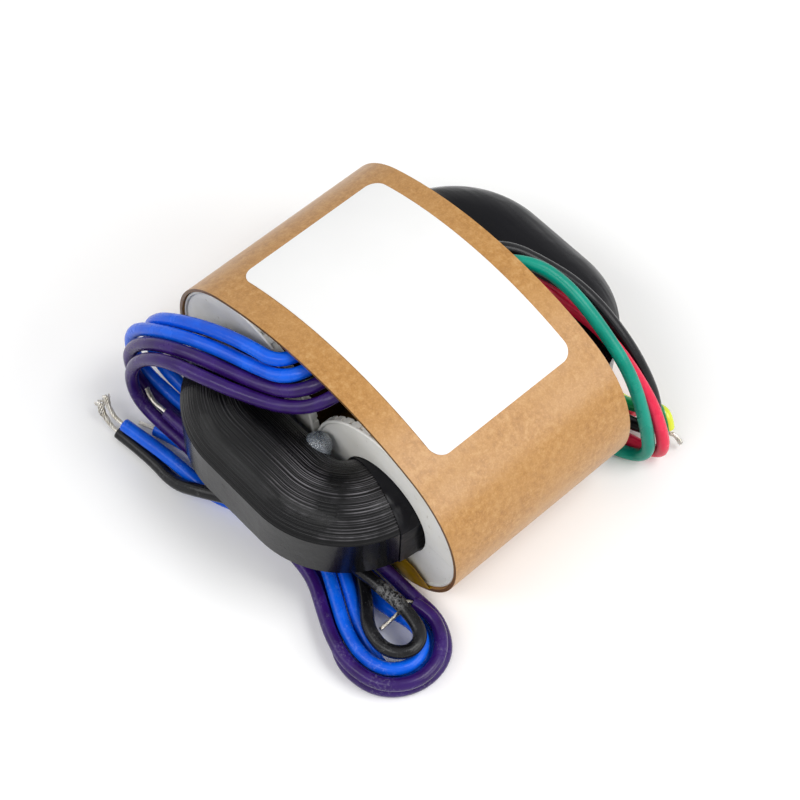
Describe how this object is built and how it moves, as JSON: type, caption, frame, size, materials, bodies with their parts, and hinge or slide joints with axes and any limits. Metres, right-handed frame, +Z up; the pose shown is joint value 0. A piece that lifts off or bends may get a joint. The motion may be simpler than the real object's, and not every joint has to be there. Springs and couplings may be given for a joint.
{
  "type": "r-core mains transformer",
  "caption": "R-core transformer: a round black wound core, two paper-wrapped bobbins side by side, a bare white label and loose coloured leads at both ends.",
  "frame": {"origin": "centre of the body's box on the floor, leads left out", "axes": "+Z up, +Y along the bobbins from the five-lead end to the four-lead end, +X from the left bobbin to the right"},
  "size_m": [0.081, 0.0797, 0.0389],
  "materials": {
    "core_varnish": "wound steel strip under black varnish",
    "black_tape": "smooth black insulating tape",
    "bobbin_plastic": "off-white moulded plastic",
    "enamelled_wire": "copper winding wire, enamelled",
    "amber_film": "amber polyester film",
    "screen_foil": "thin copper foil",
    "kraft_paper": "brown kraft paper, mottled",
    "label_paper": "bare white label",
    "joint_sleeve": "woven sleeve over a solder joint",
    "clear_glue": "clear hot glue",
    "blue_insulation": "blue vinyl",
    "violet_insulation": "violet vinyl",
    "black_insulation": "black vinyl",
    "green_insulation": "green vinyl",
    "red_insulation": "red vinyl",
    "yellow_green_insulation": "yellow vinyl with green",
    "tinned_strands": "tinned copper strands"
  },
  "bodies": {
    "root": {"core": "core_varnish", "far_arc_tape": "black_tape", "near_tape_right": "black_tape", "near_tape_left": "black_tape", "bobbin_left_upper": "bobbin_plastic", "bobbin_left_lower": "bobbin_plastic", "primary_winding_left": "enamelled_wire", "winding_insulation_left": "amber_film", "screen_foil_left": "screen_foil", "secondary_winding_left": "enamelled_wire", "outer_tape_left": "amber_film", "bobbin_right_upper": "bobbin_plastic", "bobbin_right_lower": "bobbin_plastic", "primary_winding_right": "enamelled_wire", "winding_insulation_right": "amber_film", "screen_foil_right": "screen_foil", "secondary_winding_right": "enamelled_wire", "outer_tape_right": "amber_film", "kraft_wrap": "kraft_paper", "label": "label_paper", "near_joint_sleeves": "joint_sleeve", "far_joint_sleeves": "joint_sleeve", "polyester_tape_end": "amber_film", "glue_blob": "clear_glue", "lead_blue_a": "blue_insulation", "lead_blue_b": "blue_insulation", "lead_violet_a": "violet_insulation", "lead_violet_b": "violet_insulation", "lead_black_a": "black_insulation", "lead_green": "green_insulation", "lead_red": "red_insulation", "lead_black_b": "black_insulation", "lead_yellow_green": "yellow_green_insulation", "strands_blue_a": "tinned_strands", "strands_blue_b": "tinned_strands", "strands_violet_a": "tinned_strands", "strands_violet_b": "tinned_strands", "strands_black_a": "tinned_strands", "strands_green": "tinned_strands", "strands_red": "tinned_strands", "strands_black_b": "tinned_strands", "strands_yellow_green": "tinned_strands"}
  },
  "joints": []
}
